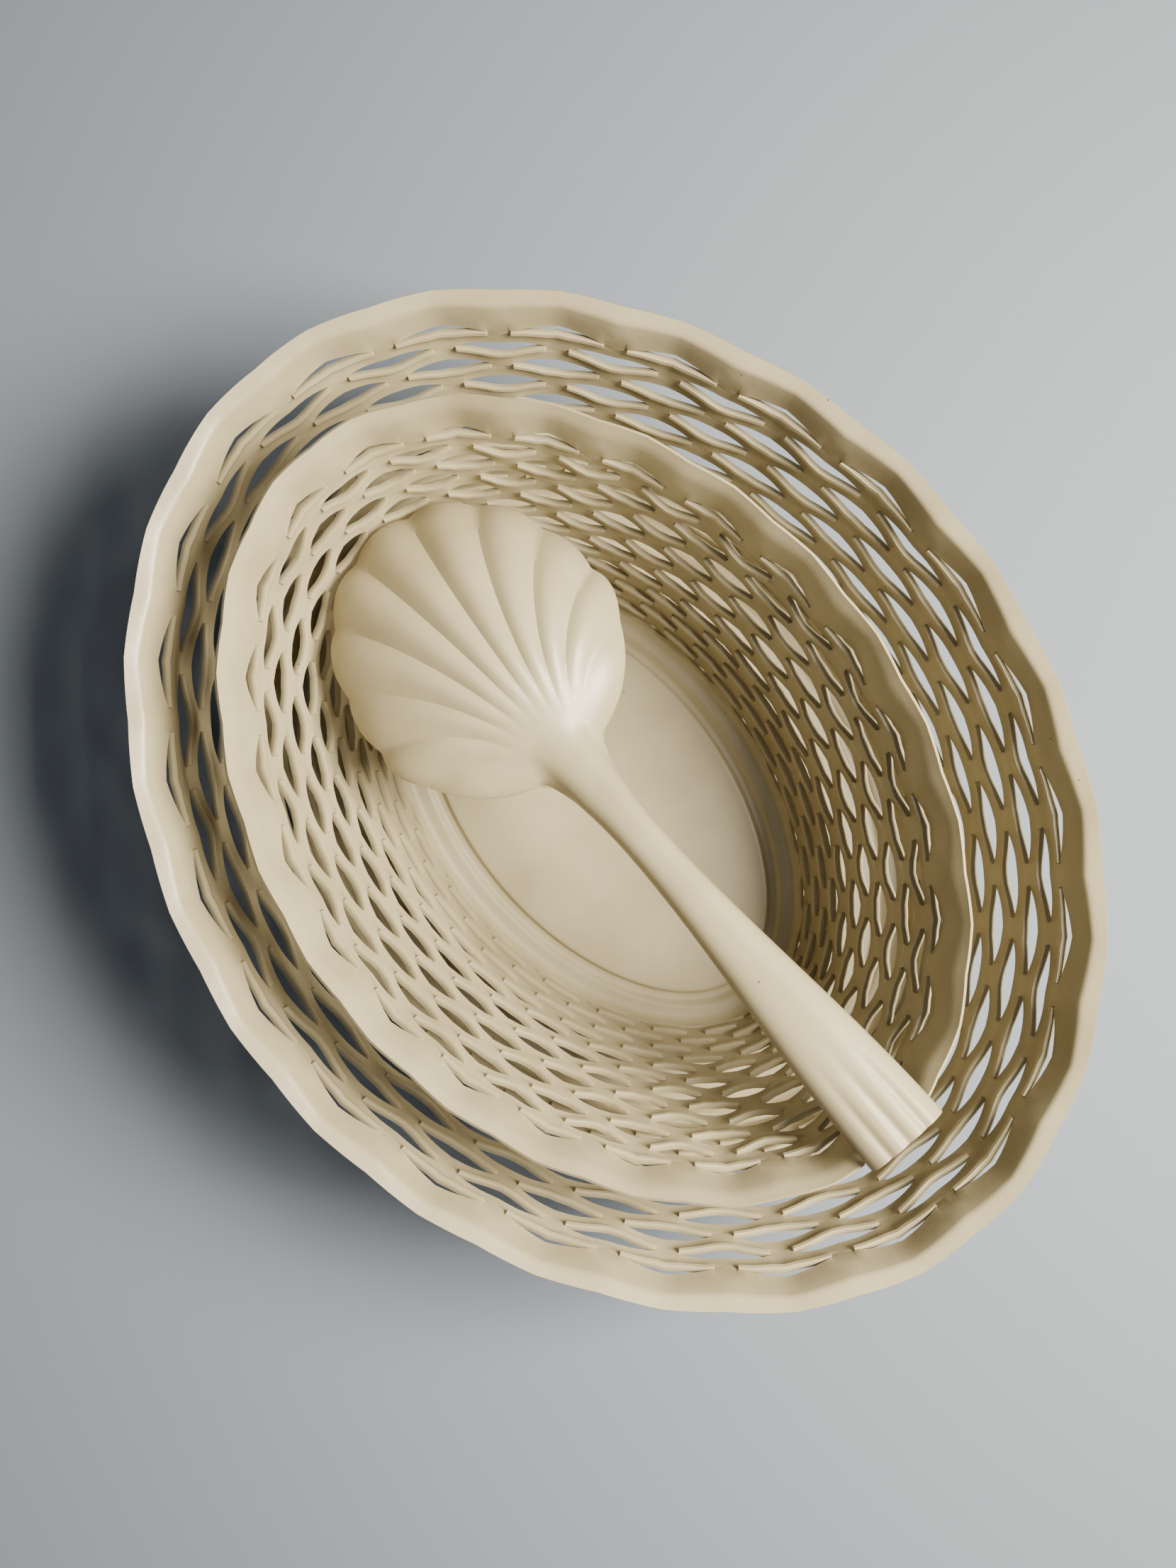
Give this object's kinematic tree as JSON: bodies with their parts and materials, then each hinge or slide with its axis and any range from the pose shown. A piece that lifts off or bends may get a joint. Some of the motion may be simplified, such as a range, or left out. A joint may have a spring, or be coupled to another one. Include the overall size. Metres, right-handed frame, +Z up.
{
  "type": "oval draining basket set",
  "caption": "Oval slit-wall draining basket with a smaller one nested in it and a shell-shaped ladle lying across, all in cream powder-coated sheet.",
  "frame": {"origin": "centre of the large basket's underside, on the surface it stands on", "axes": "+X along the long axis of the ovals, towards the ladle's handle end; +Z up"},
  "size_m": [0.3098, 0.2438, 0.1077],
  "materials": {
    "outer_basket_coat": "satin cream powder coat",
    "inner_basket_coat": "satin cream powder coat",
    "ladle_coat": "satin cream powder coat with fine orange peel"
  },
  "bodies": {
    "outer_basket": {"outer_basket": "outer_basket_coat"},
    "inner_basket": {"inner_basket": "inner_basket_coat"},
    "ladle": {"shell_ladle": "ladle_coat"}
  },
  "joints": [
    {"name": "inner_basket_lift", "type": "slide", "parent": "outer_basket", "child": "inner_basket", "axis": [0, 0, 1], "range_m": [0, 0.12]},
    {"name": "ladle_lift", "type": "slide", "parent": "inner_basket", "child": "ladle", "axis": [0, 0, 1], "range_m": [0, 0.08]}
  ]
}
